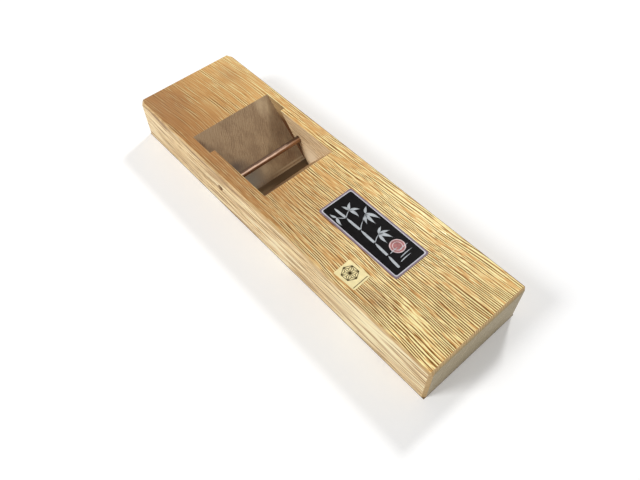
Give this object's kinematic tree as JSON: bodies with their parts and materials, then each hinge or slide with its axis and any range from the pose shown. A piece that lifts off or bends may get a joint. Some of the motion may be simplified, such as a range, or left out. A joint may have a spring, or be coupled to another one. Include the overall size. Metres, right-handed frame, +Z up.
{
  "type": "japanese wooden plane body",
  "caption": "Long flat oak block with a sloping bed, blade grooves and an open mouth through the sole, crossed by a metal pin that can be driven out sideways.",
  "frame": {"origin": "middle of the sole, the flat face that the plane slides on", "axes": "+X along the length to the front end with the labels, +Y to the side away from the small label, +Z up out of the top face"},
  "size_m": [0.28, 0.079, 0.0323],
  "materials": {
    "oak": "planed, bare, slightly aged white oak with a streaky grain",
    "pin_metal": "copper-coloured drawn rod, dulled by handling",
    "label_film": "black film with a thin silver border, semi-gloss",
    "label_paper": "cream coated paper, matte"
  },
  "bodies": {
    "plane": {"plane_body": "oak", "black_label": "label_film", "paper_label": "label_paper"},
    "pin": {"chip_breaker_pin": "pin_metal"}
  },
  "joints": [
    {"name": "pin_drift", "type": "slide", "parent": "plane", "child": "pin", "axis": [0, 1, 0], "range_m": [-0.062, 0.062]}
  ]
}
